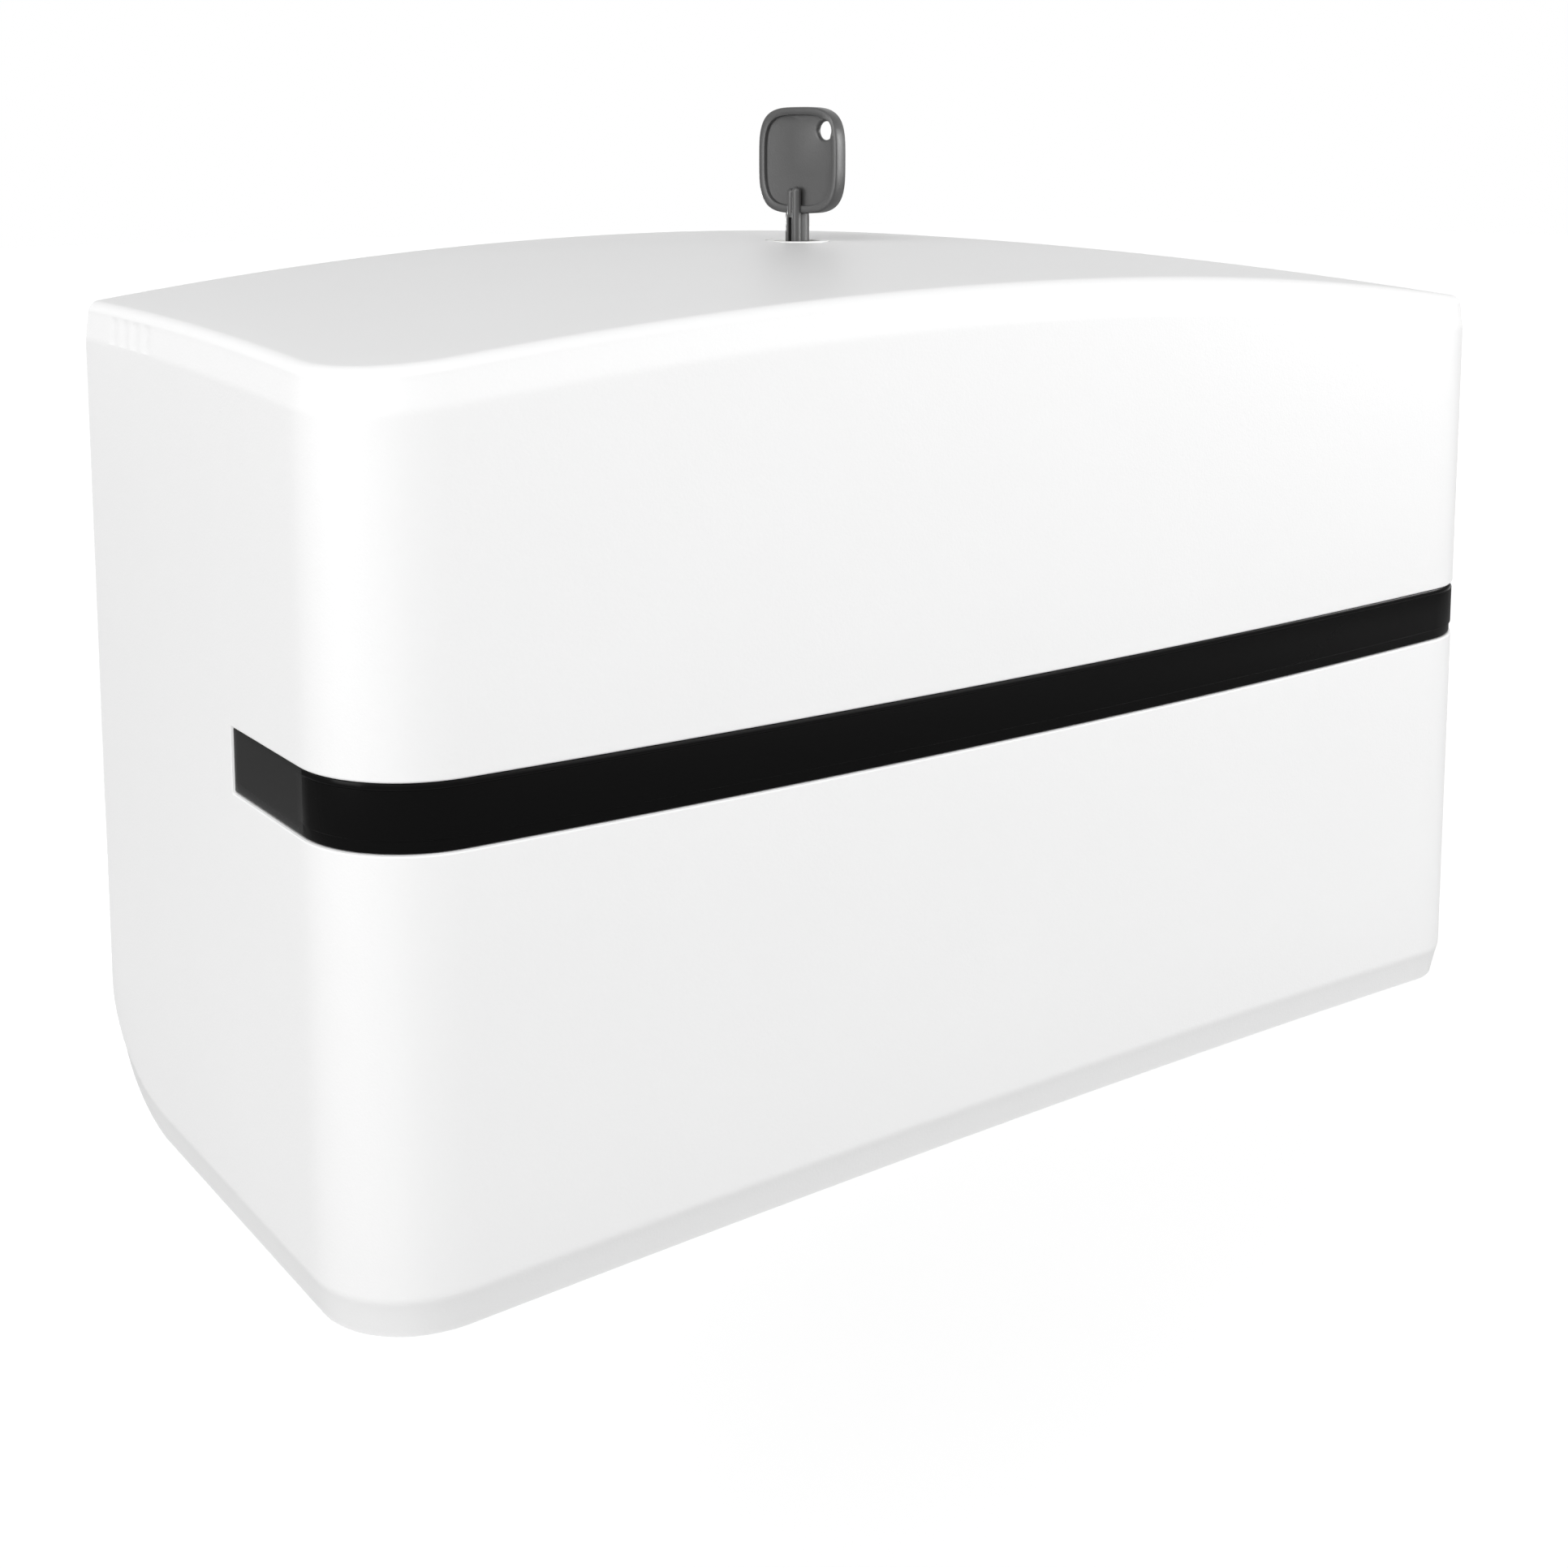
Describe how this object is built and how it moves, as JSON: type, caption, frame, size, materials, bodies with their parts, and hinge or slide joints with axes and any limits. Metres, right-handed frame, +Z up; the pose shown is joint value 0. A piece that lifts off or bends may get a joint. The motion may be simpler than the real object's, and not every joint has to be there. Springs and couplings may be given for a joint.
{
  "type": "twin toilet roll dispenser",
  "caption": "Wall dispenser for twin toilet rolls: crowned white cover with a smoked level window, hinged at the bottom, top key lock, roll hubs, and a sliding outlet shutter.",
  "frame": {"origin": "centre of the wall face, midway between the wall screw holes", "axes": "+X to the right seen from the front, +Y into the wall, +Z up; the front faces -Y"},
  "size_m": [0.326, 0.146, 0.2329],
  "materials": {
    "cover_plastic": "white ABS, fine satin texture",
    "chassis_plastic": "white ABS, smooth",
    "smoked_window": "smoked near-black, high gloss",
    "key_plastic": "dark grey moulded nylon",
    "grey_plastic": "mid grey ABS",
    "hub_plastic": "off-white acetal",
    "brake_rubber": "black rubber",
    "steel": "zinc plated or stainless steel"
  },
  "bodies": {
    "chassis": {"rear_chassis": "chassis_plastic", "hinge_pins": "steel", "lock_striker": "grey_plastic", "striker_screws": "steel", "spindle_left": "grey_plastic", "spindle_right": "grey_plastic", "spindle_screws": "steel", "brake_washer_left": "brake_rubber", "brake_washer_right": "brake_rubber", "spindle_cap_left": "grey_plastic", "spindle_cap_right": "grey_plastic", "cap_screws": "steel", "centre_divider": "chassis_plastic", "divider_screws": "steel"},
    "cover": {"front_cover": "cover_plastic", "window_strip": "smoked_window", "lock_housing": "cover_plastic", "lock_nut": "steel", "outlet_frame": "grey_plastic", "frame_screws": "steel", "tear_bar_left": "steel", "tear_bar_right": "steel", "tear_bar_screws": "steel"},
    "lock": {"lock_barrel": "hub_plastic", "lock_cam": "steel", "cam_screw": "steel"},
    "key": {"key": "key_plastic"},
    "hub_left": {"roll_hub_left": "hub_plastic"},
    "hub_right": {"roll_hub_right": "hub_plastic"},
    "shutter": {"shutter": "grey_plastic", "shutter_knob": "hub_plastic"}
  },
  "joints": [
    {"name": "cover_hinge", "type": "hinge", "parent": "chassis", "child": "cover", "pos_m": [0, -0.0185, -0.076], "axis": [1, 0, 0], "range_deg": [0, 85]},
    {"name": "lock_turn", "type": "hinge", "parent": "cover", "child": "lock", "pos_m": [0, -0.0505, 0.1], "axis": [0, 0, 1], "range_deg": [0, 90]},
    {"name": "key_pull", "type": "slide", "parent": "lock", "child": "key", "axis": [0, 0, 1], "range_m": [0, 0.02]},
    {"name": "hub_spin_left", "type": "hinge", "parent": "chassis", "child": "hub_left", "pos_m": [-0.081, -0.065, 0.01], "axis": [0, 1, 0], "continuous": true},
    {"name": "hub_spin_right", "type": "hinge", "parent": "chassis", "child": "hub_right", "pos_m": [0.081, -0.065, 0.01], "axis": [0, 1, 0], "continuous": true},
    {"name": "shutter_slide", "type": "slide", "parent": "cover", "child": "shutter", "axis": [1, 0, 0], "range_m": [-0.09, 0]}
  ]
}
